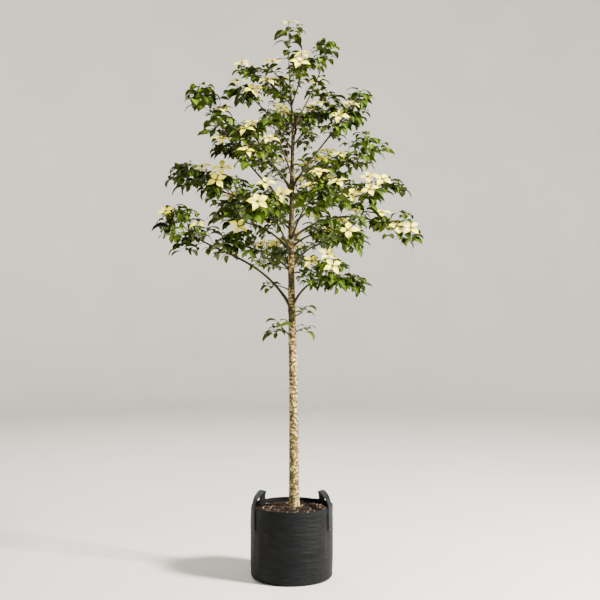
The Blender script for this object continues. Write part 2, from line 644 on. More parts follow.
def grow_side_twigs(limb):
    """Opposite twigs at every node of the limb's stem, high and low by turns, where there is room."""
    index = limb["index"]
    count = round(limb["length"] * (1 - limb["bare"]) / TWIG["step"]) if limb["spread"] else 0
    for node in range(count - 1, -1, -1):
        share = (node + SIDE_TWIG["from"]) / count
        root = on_stem(limb, share)
        ahead = limb_heading(limb, along_limb(limb, share))
        for side in (0, 1):
            tilt = SIDE_TWIG["high"] if node % 2 else SIDE_TWIG["low"]
            tilt += SIDE_TWIG["tilt"] * (chance(index, node, side) - 0.5)
            roll = math.radians(180 - tilt if side else tilt)
            angle = math.radians(SIDE_TWIG["angle"] + SIDE_TWIG["spread"] * chance(index, node, side + 2))
            length = limb["spread"] * (1 - SIDE_TWIG["shorter"] * share)
            length *= SIDE_TWIG["least"] + SIDE_TWIG["more"] * chance(index, node, side + 4)
            end = root + turned_off(ahead, angle, roll) * length + UP * TWIG["lift"] * length
            if fits([(root + end) / 2, end], index):
                bloom = chance_bloom(limb, end, index, node, side)
                grow_twig(limb, root, end, twig_root_radius(limb, root), bloom, index, node, side)


def grow_stem_spurs(limb):
    """Short leafy spurs straight from a limb's stem, between its twigs."""
    index = limb["index"]
    stem = limb["length"] * (1 - limb["bare"])
    for number in range(int(stem / STEM_SPUR["step"]) if limb["spread"] else 0):
        share = (number + 0.5) * STEM_SPUR["step"] / stem
        ahead = limb_heading(limb, along_limb(limb, share))
        for side in (0, 1):
            if chance(index, number, side, 21) < STEM_SPUR["rarity"]:
                continue
            roll = QUARTER * (number % 2) + math.pi * side + chance(index, number, side, 22) - 0.5
            out = turned_off(ahead, math.radians(STEM_SPUR["angle"]), roll)
            reach = STEM_SPUR["length"] * (STEM_SPUR["least"] + chance(index, number, side, 23))
            tint = chance(index, number, side, 24)
            keys = (index, number, side, 25)
            grow_spur(on_stem(limb, share), out, reach, STEM_SPUR["leaves"], tint, index, *keys)


def grow_trunk_spurs():
    """Small leafy shoots round the trunk up through the crown, longest at the bottom."""
    span = TRUNK_SPUR["to"] - TRUNK_SPUR["from"]
    for number in range(int(span / TRUNK_SPUR["step"])):
        height = TRUNK_SPUR["from"] + number * TRUNK_SPUR["step"]
        root = trunk_point(height)
        for side in range(TRUNK_SPUR["round"]):
            turn = TRUNK_SPUR["turn"] * number + 360 * side / TRUNK_SPUR["round"]
            out = heading_of(turn + TRUNK_SPUR["stray"] * chance(number, side, 31))
            shorter = 1 - TRUNK_SPUR["shorter"] * number * TRUNK_SPUR["step"] / span
            luck = TRUNK_SPUR["least"] + TRUNK_SPUR["more"] * chance(number, side, 32)
            reach = TRUNK_SPUR["length"] * luck * shorter
            owner = int(STEMS[2][distances([root + out * reach], *STEMS[:2])[0].argmin()])
            way = unit(out + UP * TRUNK_SPUR["lift"])
            tint = chance(number, side, 33)
            grow_spur(root, way, reach, TRUNK_SPUR["leaves"], tint, owner, number, side, 34)


def chance_bloom(limb, end, *keys):
    """Where a limb has no named blooms, some of its twigs bear one if there is room for it."""
    if limb["blooms"] or not limb["flowers"] or chance(*keys, 6) < BLOOM["rarity"]:
        return None
    centre = end + UP * BLOOM["stalk"]
    axis = bloom_axis(BLOOM["chance_facing"], *keys)
    crowded = any(np.linalg.norm(centre - other[0]) < BLOOM["apart"] * BLOOM["reach"] for other in blooms)
    if crowded or not fits([centre], limb["index"], LIMB_MARGIN):
        return None
    return centre, axis, BLOOM["bracts"]


def grow_leader():
    """The leading shoot on the trunk's tip: two whorls of leaves and a side shoot under a bloom."""
    index = len(limbs)
    lower, upper = [leader_foot + UP * height for height in LEADER["whorls"]]
    add_wood([leader_foot - UP * LEADER["sunk"], lower, upper], LEADER["radii"], 8, vector(1, 0, 0))
    for number, whorl in enumerate((lower, upper)):
        add_spray(whorl, UP, LEADER["pairs"], LEADER["leaves"], LEADER["tint"], index, index, number)
    axis = bloom_axis(LEADER["facing"], index)
    add_wood([upper, (upper + leader_tip) / 2, leader_tip], LEADER["stalk_radii"], 6, vector(1, 0, 0))
    blooms.append((leader_tip, axis, QUARTER * chance(index, 2), 0.5, BLOOM["bracts"]))
    side = upper + UP * LEADER_SIDE["lift"] + vector(*LEADER_SIDE["way"]) * LEADER_SIDE["reach"]
    line = [upper + UP * LEADER_SIDE["from"], (upper + side) / 2 + UP * LEADER_SIDE["bow"], side]
    add_wood(line, LEADER_SIDE["radii"], TWIG["sides"], vector(0, 1, 0))
    way = unit(side - upper)
    add_spray(side, way, 2, LEADER_SIDE["leaves"], LEADER_SIDE["tint"], index, index, 4)


for each_limb in limbs:
    grow_named_shoots(each_limb)
    grow_side_twigs(each_limb)
    grow_stem_spurs(each_limb)
grow_leader()
grow_trunk_spurs()


# ---- Blades: leaves and bracts are one closed shape with two sides, a fold and a bend ----
BLADE_COLUMNS = np.array([-1, -0.5, 0, 0.5, 1])
BLADE_SIDES = {"top": 0.24, "under": 0.76, "half": 0.22, "border": 0.5}  # where they lie on the surface
BLADE_WAVES = {"count": 9, "shift": 6.3}
LEAF_OUTLINE = ((0.0, 0), (0.14, 0.6), (0.32, 0.95), (0.52, 1), (0.72, 0.76), (0.88, 0.36), (1, 0))
BRACT_OUTLINE = ((0.0, 0), (0.12, 0.38), (0.32, 0.86), (0.48, 1), (0.66, 0.72), (0.84, 0.26), (1, 0))


def blade_faces(rows):
    """Top and underside of a blade of rows between its two ends. The rim's points are shared."""
    wide = len(BLADE_COLUMNS)
    top = 1 + np.arange(rows * wide).reshape(rows, wide)
    tip = 1 + rows * wide
    inner = tip + 1 + np.arange(rows * (wide - 2)).reshape(rows, wide - 2)
    under = np.concatenate([top[:, :1], inner, top[:, -1:]], 1)

    def sheet(grid, flip):
        quads = np.stack([grid[:-1, :-1], grid[:-1, 1:], grid[1:, 1:], grid[1:, :-1]], -1).reshape(-1, 4)
        first, last = grid[0], grid[-1]
        foot = np.stack([np.zeros(wide - 1, int), first[1:], first[:-1]], -1)
        head = np.stack([np.full(wide - 1, tip), last[:-1], last[1:]], -1)
        return [part[:, ::-1] if flip else part for part in (quads, foot, head)]

    quads, foot, head = sheet(top, False)
    under_quads, under_foot, under_head = sheet(under, True)
    return np.concatenate([quads, under_quads]), np.concatenate([foot, head, under_foot, under_head])


def blade_places(stations, rows):
    """Where each point of a blade lies on its surface: along it, and across its top or its underside."""
    wide = (rows, len(BLADE_COLUMNS))
    column = np.broadcast_to(BLADE_COLUMNS, wide)
    along = np.broadcast_to(stations[1:-1, None], wide)
    top, under, half = BLADE_SIDES["top"], BLADE_SIDES["under"], BLADE_SIDES["half"]
    upper = np.stack([along, top + half * column], -1).reshape(-1, 2)
    lower = np.stack([along, under + half * column], -1)[:, 1:-1].reshape(-1, 2)
    return np.concatenate([[[0, top]], upper, [[1, top]], lower])


def add_blades(skin, outline, bases, outwards, ups, lengths, widths, bends, folds, waves, thick):
    """Many blades at once. A blade starts off along outwards and bends from bends[0] to bends[1] over it."""
    stations, profile = np.array(outline).T
    rows = len(stations) - 2
    many = len(bases)
    angles = bends[:, :1] + (bends[:, 1:] - bends[:, :1]) * stations
    steps = np.diff(stations, prepend=0)
    run = np.cumsum(np.cos(angles) * steps, 1) * lengths[:, None]
    lift = np.cumsum(np.sin(angles) * steps, 1) * lengths[:, None]
    side = unit(np.cross(ups, outwards))
    spine = bases[:, None] + outwards[:, None] * run[..., None] + ups[:, None] * lift[..., None]
    normal = -outwards[:, None] * np.sin(angles)[..., None] + ups[:, None] * np.cos(angles)[..., None]
    offset = BLADE_COLUMNS * (widths[:, None] / 2 * profile)[..., None]
    ripple = np.sin(stations * BLADE_WAVES["count"] + waves[:, 1:] * BLADE_WAVES["shift"])
    wave = ripple[..., None] * np.abs(BLADE_COLUMNS) * waves[:, :1, None]
    rise = np.abs(offset) * folds[:, None, None] + wave * widths[:, None, None]
    grid = spine[:, :, None] + side[:, None, None] * offset[..., None] + normal[:, :, None] * rise[..., None]
    under = (grid - normal[:, :, None] * thick)[:, 1:-1, 1:-1]
    points = np.concatenate([
        spine[:, :1], grid[:, 1:-1].reshape(many, -1, 3), spine[:, -1:], under.reshape(many, -1, 3)], 1)
    shift = (np.arange(many) * points.shape[1])[:, None, None]
    faces = [(group[None] + shift).reshape(-1, group.shape[1]) for group in blade_faces(rows)]
    skin.add(points, faces, np.tile(blade_places(stations, rows), (many, 1)))


# ---- Leaves ----
LEAF = {
    "length": 76, "width": 41, "petiole": 9, "thick": 0.9, "level": 0.35, "roll": 0.9, "seed": 11,
    "sharp": 75,
}
LEAF_LUCK = {  # the least, and how much more by luck
    "rise": (16, 22), "fall": (46, 44), "width": (0.86, 0.28), "fold": (0.12, 0.3), "wave": (0.02, 0.03),
}
LEAF_TONES = ("deep", "middle", "fresh", "young")
TONE_SHARES = {"deep": 0.3, "young": 0.35, "mixed": 0.22, "leader": 0.3}
LEAF_TIP = {"out": 0.62, "down": 0.3, "arch": 6, "off_bark": 2, "middle_off_bark": 3}
SHOW = {  # the room that a bloom keeps free of leaves: round it, and between it and the front
    "below": -9, "above": 38, "round": 46, "before": 190, "radius": 40, "least_facing": 0.45,
}
PETIOLE = {"past": 3, "lift": 1.5, "radii": (0.9, 0.7), "sides": 3}


def by_luck(luck, least, more):
    return least + more * luck


def leaf_room(tips, middles):
    """The leaves that clear the bark, leave the trunk in sight and hide no bloom."""
    room = clear_of_bark(tips, LEAF_TIP["off_bark"]) & clear_of_bark(middles, LEAF_TIP["middle_off_bark"])
    room &= ~(hides_the_trunk(tips) | hides_the_trunk(middles))
    for centre, axis, *_ in blooms:
        for points in (tips, middles):
            offset = points - centre
            height = offset @ axis
            radius = np.linalg.norm(offset - height[:, None] * axis, axis=1)
            room &= ~((height > SHOW["below"]) & (height < SHOW["above"]) & (radius < SHOW["round"]))
            beside = np.hypot(offset[:, 0], offset[:, 2] / max(-axis[1], SHOW["least_facing"]))
            ahead = -offset[:, 1]
            room &= ~((ahead > 0) & (ahead < SHOW["before"]) & (beside < SHOW["radius"]))
    return room


def leaf_pieces():
    """All the leaves that have room, in one piece for each tone, dealt out by the tint of their spray."""
    bases, headings, sizes, tints, owners = [np.array(column) for column in zip(*leaves)]
    luck = np.random.default_rng(LEAF["seed"]).random((len(leaves), 6))
    outwards = unit(unit(headings) * [1, 1, LEAF["level"]] + 1e-6)
    side = unit(np.cross(UP, outwards) + 1e-9)
    roll = (luck[:, 0] - 0.5) * LEAF["roll"]
    ups = unit(np.cross(outwards, side) * np.cos(roll)[:, None] + side * np.sin(roll)[:, None])
    rise = np.radians(by_luck(luck[:, 1], *LEAF_LUCK["rise"]))
    fall = np.radians(by_luck(luck[:, 2], *LEAF_LUCK["fall"]))
    lengths = LEAF["length"] * sizes
    widths = LEAF["width"] * sizes * by_luck(luck[:, 4], *LEAF_LUCK["width"])
    folds = by_luck(luck[:, 5], *LEAF_LUCK["fold"])
    waves = np.stack([by_luck(luck[:, 1], *LEAF_LUCK["wave"]), luck[:, 2]], 1)
    feet = bases + outwards * LEAF["petiole"]
    parts = (feet, outwards, ups, lengths, widths, np.stack([rise, -fall], 1), folds, waves)
    tips = bases + outwards * (LEAF_TIP["out"] * lengths)[:, None]
    tips = tips - UP * (LEAF_TIP["down"] * lengths)[:, None]
    room = leaf_room(tips, (bases + tips) / 2 + UP * LEAF_TIP["arch"])
    young = np.array([limb["young"] for limb in limbs] + [TONE_SHARES["leader"]])[owners]
    shade = tints + TONE_SHARES["mixed"] * (luck[:, 3] - 0.5)
    fresh = np.where(shade < 1 - TONE_SHARES["young"] * young, 2, 3)
    tones = np.where(shade < TONE_SHARES["deep"], 0, np.where(shade < 1 - young, 1, fresh))
    pieces = {}
    for number, tone in enumerate(LEAF_TONES):
        chosen = room & (tones == number)
        skin = Skin()
        add_blades(skin, LEAF_OUTLINE, *[part[chosen] for part in parts], LEAF["thick"])
        pieces[tone] = skin.object("leaves_" + tone, LEAF["sharp"])
        for base, out in zip(bases[chosen], outwards[chosen]):
            end = base + out * (LEAF["petiole"] + PETIOLE["past"]) + UP * PETIOLE["lift"]
            add_wood([base, end], PETIOLE["radii"], PETIOLE["sides"], sides_of(out)[0])
    return pieces


# ---- Blossom ----
BRACT = {"throat": 2.5, "reach": 57, "width": 30, "thick": 0.8, "lift": 0.5, "stray": 0.16, "sharp": 75}
BLOOM_LUCK = (0.93, 0.1)
BRACT_LUCK = {  # the least, and how much more by luck, in the order in which luck is dealt
    "length": (0.95, 0.1), "width": (0.92, 0.16), "rise": (20, 10), "fall": (14, 26), "fold": (0.16, 0.12),
    "wave": (0.02, 0.02),
}
HEAD = {"radius": 6.6, "sides": 8, "rings": 6, "stand": 4, "pole": 0.04, "knob": 1.08, "dip": 0.9}


def blossom_pieces():
    """Broad pointed bracts, mostly four to a bloom, round a small knobbly head."""
    bracts, heads = Skin(), Skin()
    grown = []
    for number, (centre, axis, spin, luck, count) in enumerate(blooms):
        level, other = sides_of(axis)
        size = by_luck(luck, *BLOOM_LUCK)
        for i in range(count):
            angle = spin + i * 2 * math.pi / count + BRACT["stray"] * (chance(number, i) - 0.5)
            out = level * math.cos(angle) + other * math.sin(angle)
            lift = BRACT["lift"] if i % 2 else -BRACT["lift"]
            length, width, rise, fall, fold, wave = [
                by_luck(chance(number, i, key), *spread)
                for key, spread in enumerate(BRACT_LUCK.values(), 2)
            ]
            grown.append((
                centre + out * BRACT["throat"] + axis * lift, out, axis,
                (BRACT["reach"] - BRACT["throat"]) * size * length, BRACT["width"] * size * width,
                (math.radians(rise), -math.radians(fall)), fold, (wave, chance(number, i, 8))))
        add_head(heads, centre + axis * HEAD["stand"], axis)
    add_blades(bracts, BRACT_OUTLINE, *[np.array(part) for part in zip(*grown)], BRACT["thick"])
    return bracts.object("bracts", BRACT["sharp"]), heads.object("flower_heads")


def add_head(skin, centre, axis):
    level, other = sides_of(axis)
    rings = []
    for i in range(HEAD["rings"]):
        height = math.pi * (HEAD["pole"] + (1 - 2 * HEAD["pole"]) * i / (HEAD["rings"] - 1))
        for j in range(HEAD["sides"]):
            turn = 2 * math.pi * (j + 0.5 * (i % 2)) / HEAD["sides"]
            radius = HEAD["radius"] * (HEAD["knob"] if (i + j) % 2 else HEAD["dip"])
            out = (level * math.cos(turn) + other * math.sin(turn)) * math.sin(height)
            rings.append(centre + (out - axis * math.cos(height)) * radius)
    skin.add(rings, ring_faces(HEAD["rings"], HEAD["sides"]))


# ---- Bag ----
BAG_MESH = {"sides": 256, "wall_rings": 96, "floor": (1, 60, 130), "bend_rings": 9}
CREASES = ((24, 110, 1.0), (10, 55, 0.8))  # height of a crease, its length and its depth
SLACK = {"bulge": 4, "size": 120, "depth": 2.6, "under_strap": 0.35, "flat": 8, "fade": 8}
RIM = {"round": 2.5, "deep": 60, "fold": 5, "wave": 2.2, "waves": 5, "turn": 40}
RIM_RISE = {"height": 1.6, "waves": 3, "turn": 100, "down": 0.4}
HEM_STEP = {"in": 1.3, "ease": 2}
LINING = {"below_soil": 16, "floor": (120, 1)}


def away_from_straps(turns):
    """0 under a strap's two feet and 1 away from them, so that the wall lies flat where straps are sewn."""
    feet = [turn + way * STRAP["half_turn"] for turn in HANDLE_TURNS.values() for way in (-1, 1)]
    gaps = [np.abs((turns - foot + 180) % 360 - 180) for foot in feet]
    return np.clip((np.min(gaps, 0) - SLACK["flat"]) / SLACK["fade"], 0, 1)


def bag_profile():
    """Radius, height and looseness from the middle of the underside, up the wall, over the rim and down."""
    radius, wall, foot = BAG["radius"], BAG["wall"], BAG["foot_round"]
    rim_height, lining = BAG["height"] - RIM["round"], SOIL["edge"] - LINING["below_soil"]
    hem_top = BAG["height"] - BAG["hem"]
    profile = [(out, 0, 0) for out in BAG_MESH["floor"]]
    for angle in np.radians(np.linspace(0, 90, BAG_MESH["bend_rings"])):
        out = np.sin(angle)
        profile.append((radius - foot + foot * out, foot - foot * np.cos(angle), 0.5 * out))
    for height in np.linspace(foot, rim_height, BAG_MESH["wall_rings"])[1:]:
        step = 0 if height > hem_top else HEM_STEP["in"] * min(1, (hem_top - height) / HEM_STEP["ease"])
        profile.append((radius - step, height, 1))
    for angle in np.radians(np.linspace(30, 180, 6)):
        out, up = RIM["round"] * np.cos(angle), RIM["round"] * np.sin(angle)
        profile.append((radius - RIM["round"] + out, rim_height + up, 1))
    for height in np.linspace(BAG["height"] - 6, hem_top, 6):
        profile.append((radius - RIM["fold"], height, 0.8))
    profile += [(radius - wall - 1, hem_top - 4, 0.6), (radius - wall - 2, lining, 0.3)]
    profile += [(out, lining - 1, 0) for out in LINING["floor"]]
    return np.array(profile)


def fabric_bag():
    """A sewn fabric cylinder, creased across where it was folded flat and slack between its straps."""
    profile = bag_profile()
    sides = BAG_MESH["sides"]
    turns = np.arange(sides) * 360 / sides
    free = away_from_straps(turns)
    radius, height, loose = profile.T[:, :, None]
    places = np.stack(np.broadcast_arrays(turns * math.pi / 180 * BAG["radius"], height), -1)
    wall = level_rings(np.full(len(profile), BAG["radius"]), profile[:, 1], sides)
    push = SLACK["bulge"] * np.sin(np.pi * np.clip(height / BAG["height"], 0, 1)) ** 0.8 * free
    push = push + SLACK["depth"] * roughness_at(wall, SLACK["size"], 1) * free
    for tall, long, depth in CREASES:
        folds = 1 - 2 * np.abs(roughness_at(wall * [tall / long, tall / long, 1], tall, 2))
        push = push + depth * (folds - 1) * (SLACK["under_strap"] + (1 - SLACK["under_strap"]) * free)
    rim = np.clip((height - (BAG["height"] - RIM["deep"])) / RIM["deep"], 0, 1) ** 2
    push = push * loose
    push = push + RIM["wave"] * rim * loose * np.sin(np.radians(turns * RIM["waves"] + RIM["turn"])) * free
    lift = np.sin(np.radians(turns * RIM_RISE["waves"] + RIM_RISE["turn"]))
    rise = rim * loose * RIM_RISE["height"] * lift * free - RIM_RISE["down"]
    outwards = np.array([heading_of(turn) for turn in turns])
    points = outwards * (radius + push)[..., None] + UP * np.maximum(height + rise * (rim > 0), 0)[..., None]
    skin = Skin()
    skin.add(points, ring_faces(len(profile), sides), places.reshape(-1, 2) * MM)
    return skin.object("fabric_bag")


# ---- Handles ----
STRAP_RINGS = {"sewn": 14, "arch": 40, "from": 7, "to": 173, "free": 2}
SELVEDGE = 0.45


def strap_section(thick, half):
    """Around the webbing: the two faces with rounded selvedges, as distance off the middle and across."""
    flat = half - thick * SELVEDGE
    one_face = [(thick / 2, side * flat) for side in (-1, -0.5, 0, 0.5, 1)]
    other_face = [(-inner, -side) for inner, side in one_face]
    return one_face + [(0, half)] + other_face + [(0, -half)]


def webbing_handle(name, turn):
    """A strap sewn flat down the wall, that twists into an arch over the rim and comes down again.

    The arch leans in. At its crest the webbing lies nearly level, gathered narrower and both edges down.
    """
    thick, half = STRAP["thick"], STRAP["width"] / 2
    outer = BAG["radius"] + CLEAR + half**2 / (8 * BAG["radius"])
    middle = outer + thick / 2
    first_turn, last_turn = turn - STRAP["half_turn"], turn + STRAP["half_turn"]
    section = strap_section(thick, half)

    def flat_ring(at, drop, flip):
        ring = []
        for inner, side in section:
            angle = math.radians(at) + flip * side / outer
            out = vector(math.cos(angle), math.sin(angle), 0)
            ring.append(out * (middle - inner) + UP * (BAG["height"] - drop))
        return ring

    first, last = heading_of(first_turn) * middle, heading_of(last_turn) * middle
    chord = last - first
    reach, ahead, outwards = np.linalg.norm(chord) / 2, unit(chord), heading_of(turn)

    def arch_ring(angle):
        centre = first + chord * (1 - math.cos(angle)) / 2 - outwards * STRAP["lean"] * math.sin(angle)
        curl = math.sin(angle) ** 2
        tilt = math.radians(STRAP["tilt"]) * curl
        centre += UP * (BAG["height"] + STRAP["arch"] * math.sin(angle) - half * math.sin(tilt))
        run = unit(ahead * math.sin(angle) * reach + UP * math.cos(angle) * STRAP["arch"])
        level = heading_of(turn + (90 - STRAP["half_turn"]) * math.cos(angle))
        level = unit(level - run * (run @ level))
        wide = level * math.cos(tilt) + np.cross(run, level) * math.sin(tilt)
        face = np.cross(run, wide)
        cup, gather = STRAP["cup"] * curl, 1 - STRAP["gather"] * curl
        return [
            centre + face * (inner + cup * (side / half) ** 2) + wide * side * gather
            for inner, side in section
        ]

    drops = np.linspace(STRAP["foot"], STRAP_RINGS["free"], STRAP_RINGS["sewn"])
    bends = np.radians(np.linspace(STRAP_RINGS["from"], STRAP_RINGS["to"], STRAP_RINGS["arch"]))
    rings = [flat_ring(first_turn, drop, 1) for drop in drops]
    rings += [arch_ring(angle) for angle in bends]
    rings += [flat_ring(last_turn, drop, -1) for drop in drops[::-1]]
    rings = np.array(rings)
    lengths = np.concatenate([[0], np.cumsum(np.linalg.norm(np.diff(rings.mean(1), axis=0), axis=1))])
    across = np.array([side for _, side in section])
    places = np.stack(np.broadcast_arrays(across[None] * MM, lengths[:, None] * MM), -1).reshape(-1, 2)
    skin = Skin()
    skin.add(rings, ring_faces(len(rings), len(section)), places)
    return recalculated(skin.object(name))


def recalculated(piece):
    """The same piece with every face pointing outwards."""
    shape = bmesh.new()
    shape.from_mesh(piece.data)
    bmesh.ops.recalc_face_normals(shape, faces=shape.faces)
    shape.to_mesh(piece.data)
    shape.free()
    return piece


# ---- Nodes ----
def as_socket(value):
    """A hex colour as the linear one that a socket takes. Anything else stays as it is."""
    return linear(value) if isinstance(value, str) and value.startswith("#") else value


def add_node(tree, kind, inputs=(), stops=(), **settings):
    """Adds a node with its settings, its ramp's stops and its inputs, and gives its outputs.

    An input is a value, a hex colour or another node's output. A stop is a position with a hex colour or
    a grey.
    """
    made = tree.nodes.new(kind)
    for name, value in settings.items():
        setattr(made, name, value)
    for i, (at, tone) in enumerate(stops):
        stop = made.color_ramp.elements[i] if i < 2 else made.color_ramp.elements.new(at)
        stop.position = at
        stop.color = linear(tone) if isinstance(tone, str) else (tone, tone, tone, 1)
    for socket, value in dict(inputs).items():
        if isinstance(value, bpy.types.NodeSocket):
            tree.links.new(value, made.inputs[socket])
        else:
            made.inputs[socket].default_value = as_socket(value)
    return made.outputs


# ---- Stitches and mulch chips, made by Geometry Nodes ----
def start_tree(name, numbers):
    """A Geometry Nodes tree with named numbers to set, and what its group input gives."""
    tree = bpy.data.node_groups.new(name, "GeometryNodeTree")
    tree.interface.new_socket("Geometry", in_out="INPUT", socket_type="NodeSocketGeometry")
    for label in numbers:
        tree.interface.new_socket(label, in_out="INPUT", socket_type="NodeSocketFloat")
    tree.interface.new_socket("Geometry", in_out="OUTPUT", socket_type="NodeSocketGeometry")
    return tree, add_node(tree, "NodeGroupInput")


def finish_tree(tree, shape, material):
    """The shape gets its material and leaves the tree."""
    dressed = add_node(tree, "GeometryNodeSetMaterial", {"Geometry": shape, "Material": material})
    add_node(tree, "NodeGroupOutput", {0: dressed[0]})
    return tree


def made_by(tree, guide, name, numbers):
    """The plain mesh that a tree makes from a guide mesh, with its named numbers set."""
    live = guide.modifiers.new(name, "NODES")
    live.node_group = tree
    sockets = {item.name: item.identifier for item in tree.interface.items_tree if item.in_out == "INPUT"}
    for label, value in numbers.items():
        live[sockets[label]] = float(value)
    evaluated = guide.evaluated_get(bpy.context.evaluated_depsgraph_get())
    mesh = bpy.data.meshes.new_from_object(evaluated)
    mesh.name = name
    guide.modifiers.remove(live)
    bpy.data.objects.remove(guide)
    return in_the_scene(name, mesh)


STITCH = {"step": 5.5, "length": 3.6, "thread": 0.9, "sides": 6, "inset": 4, "box": 34, "top": 8, "foot": 5}


def stitch_tree(material):
    """Short threads laid end to end along each line of the guide."""
    tree, given = start_tree("stitch_rows", ("Step", "Stitch length", "Thread radius"))
    line = add_node(tree, "GeometryNodeMeshToCurve", {"Mesh": given["Geometry"]})
    spots = add_node(
        tree, "GeometryNodeCurveToPoints", {"Curve": line[0], "Length": given["Step"]}, mode="LENGTH")
    thread = add_node(tree, "GeometryNodeMeshCylinder", {
        "Vertices": STITCH["sides"], "Radius": given["Thread radius"], "Depth": given["Stitch length"]})
    rows = add_node(tree, "GeometryNodeInstanceOnPoints", {
        "Points": spots["Points"], "Instance": thread["Mesh"], "Rotation": spots["Rotation"]})
    real = add_node(tree, "GeometryNodeRealizeInstances", {"Geometry": rows[0]})
    return finish_tree(tree, real[0], material)


def line_guide(lines):
    """A mesh of open or closed lines for the stitches to follow."""
    points, edges = [], []
    for line in lines:
        first = len(points)
        points += [tuple(point * MM) for point in line]
        edges += [(first + i, first + i + 1) for i in range(len(line) - 1)]
    mesh = bpy.data.meshes.new("guide")
    mesh.from_pydata(points, edges, [])
    return in_the_scene("guide", mesh)


def on_wall(turn, across, height, out):
    """A point on the bag's wall, across from a turn by a width in millimetres."""
    return heading_of(turn + math.degrees(across / BAG["radius"])) * (BAG["radius"] + out) + UP * height


def stitches(material):
    """Two sewn boxes with their crosses on each leg of each strap."""
    top = BAG["height"] - STITCH["top"] - STITCH["box"]
    low = BAG["height"] - STRAP["foot"] + STITCH["foot"]
    half = STRAP["width"] / 2 - STITCH["inset"]
    out = STRAP["thick"] + 3 * CLEAR
    lines = []
    for turn in HANDLE_TURNS.values():
        for leg in (turn - STRAP["half_turn"], turn + STRAP["half_turn"]):
            for bottom in (low, top):
                head = bottom + STITCH["box"]
                box = [(-half, bottom), (half, bottom), (half, head), (-half, head), (-half, bottom)]
                for path in (box, (box[0], box[2]), (box[1], box[3])):
                    lines.append([on_wall(leg, *corner, out) for corner in path])
    numbers = {
        "Step": STITCH["step"] * MM, "Stitch length": STITCH["length"] * MM,
        "Thread radius": STITCH["thread"] / 2 * MM,
    }
    return made_by(stitch_tree(material), line_guide(lines), "strap_stitches", numbers)


MULCH = {
    "chips": 9200, "long": 17, "wide": 5, "thick": 3, "tilt": 0.6, "turn": 6.283, "seed": 5, "splinter": 6,
    "grain": 180.0,
}
CHIP_SIZES = ((0.45, 0.45, 0.6), (1.5, 1.35, 1.3))  # the least and the most of the sizes above
MOUND = {"radius": 192, "rings": 34, "sides": 72, "sunk": 8, "under_chips": 3, "deep": 15}
MOUND_ROUGH = {"height": 5.5, "size": 22, "most": 3.5}
STREWN = {"from": 30, "to": 186, "rings": 9, "sides": 48}


def mulch_height(radii):
    """The mulch is mounded round the trunk and sunk at the wall."""
    share = np.clip(radii / MOUND["radius"], 0, 1)
    return SOIL["mound"] - 2 - (SOIL["mound"] - SOIL["edge"] + MOUND["sunk"] - 2) * share**2


def mulch_mound():
    """The mounded top of the mulch under its loose chips, closed below."""
    radii = np.concatenate([np.linspace(1, MOUND["radius"], MOUND["rings"]), [MOUND["radius"], 1]])
    heights = mulch_height(radii) - MOUND["under_chips"]
    heights[-2:] = SOIL["edge"] - MOUND["deep"]
    points = level_rings(radii, heights, MOUND["sides"])
    rough = MOUND_ROUGH["height"] * roughness_at(points, MOUND_ROUGH["size"])
    rough[-2:] = 0
    points[..., 2] += np.minimum(rough, MOUND_ROUGH["most"])
    skin = Skin()
    skin.add(points, [group[:, ::-1] for group in ring_faces(len(radii), MOUND["sides"])])
    return recalculated(skin.object("mulch_mound"))


def chip_tree(material):
    """Splintered chips strewn over the guide, each turned and tilted its own way, with its own tint."""
    names = ("Chips per square metre", "Length", "Width", "Thickness", "Tilt", "Seed")
    tree, given = start_tree("mulch_chips", names)
    spots = add_node(tree, "GeometryNodeDistributePointsOnFaces", {
        "Mesh": given["Geometry"], "Density": given["Chips per square metre"], "Seed": given["Seed"]})
    sizes = add_node(tree, "ShaderNodeCombineXYZ", {
        "X": given["Length"], "Y": given["Width"], "Z": given["Thickness"]})
    block = add_node(tree, "GeometryNodeMeshCube", {
        "Size": sizes[0], "Vertices X": 4, "Vertices Y": 3, "Vertices Z": 2})
    back = add_node(tree, "ShaderNodeMath", {0: given["Tilt"], 1: -1.0}, operation="MULTIPLY")
    least = add_node(tree, "ShaderNodeCombineXYZ", {"X": back[0], "Y": back[0], "Z": 0.0})
    most = add_node(tree, "ShaderNodeCombineXYZ", {
        "X": given["Tilt"], "Y": given["Tilt"], "Z": MULCH["turn"]})
    turn = add_node(
        tree, "FunctionNodeRandomValue", {"Min": least[0], "Max": most[0], "Seed": 1},
        data_type="FLOAT_VECTOR")
    size = add_node(
        tree, "FunctionNodeRandomValue", {"Min": CHIP_SIZES[0], "Max": CHIP_SIZES[1], "Seed": 2},
        data_type="FLOAT_VECTOR")
    strewn = add_node(tree, "GeometryNodeInstanceOnPoints", {
        "Points": spots["Points"], "Instance": block["Mesh"], "Rotation": turn["Value"],
        "Scale": size["Value"]})
    tint = add_node(tree, "FunctionNodeRandomValue", {"Seed": 3}, data_type="FLOAT")
    tinted = add_node(
        tree, "GeometryNodeStoreNamedAttribute", {"Geometry": strewn[0], "Name": "tint", "Value": tint[1]},
        data_type="FLOAT", domain="INSTANCE")
    real = add_node(tree, "GeometryNodeRealizeInstances", {"Geometry": tinted[0]})
    grain = add_node(tree, "ShaderNodeTexNoise", {"Scale": MULCH["grain"]})
    shift = add_node(
        tree, "ShaderNodeVectorMath", {0: grain["Color"], 1: (0.5, 0.5, 0.5)}, operation="SUBTRACT")
    splinter = add_node(
        tree, "ShaderNodeVectorMath", {0: shift[0], "Scale": MULCH["splinter"] * MM}, operation="SCALE")
    chipped = add_node(tree, "GeometryNodeSetPosition", {"Geometry": real[0], "Offset": splinter[0]})
    return finish_tree(tree, chipped[0], material)


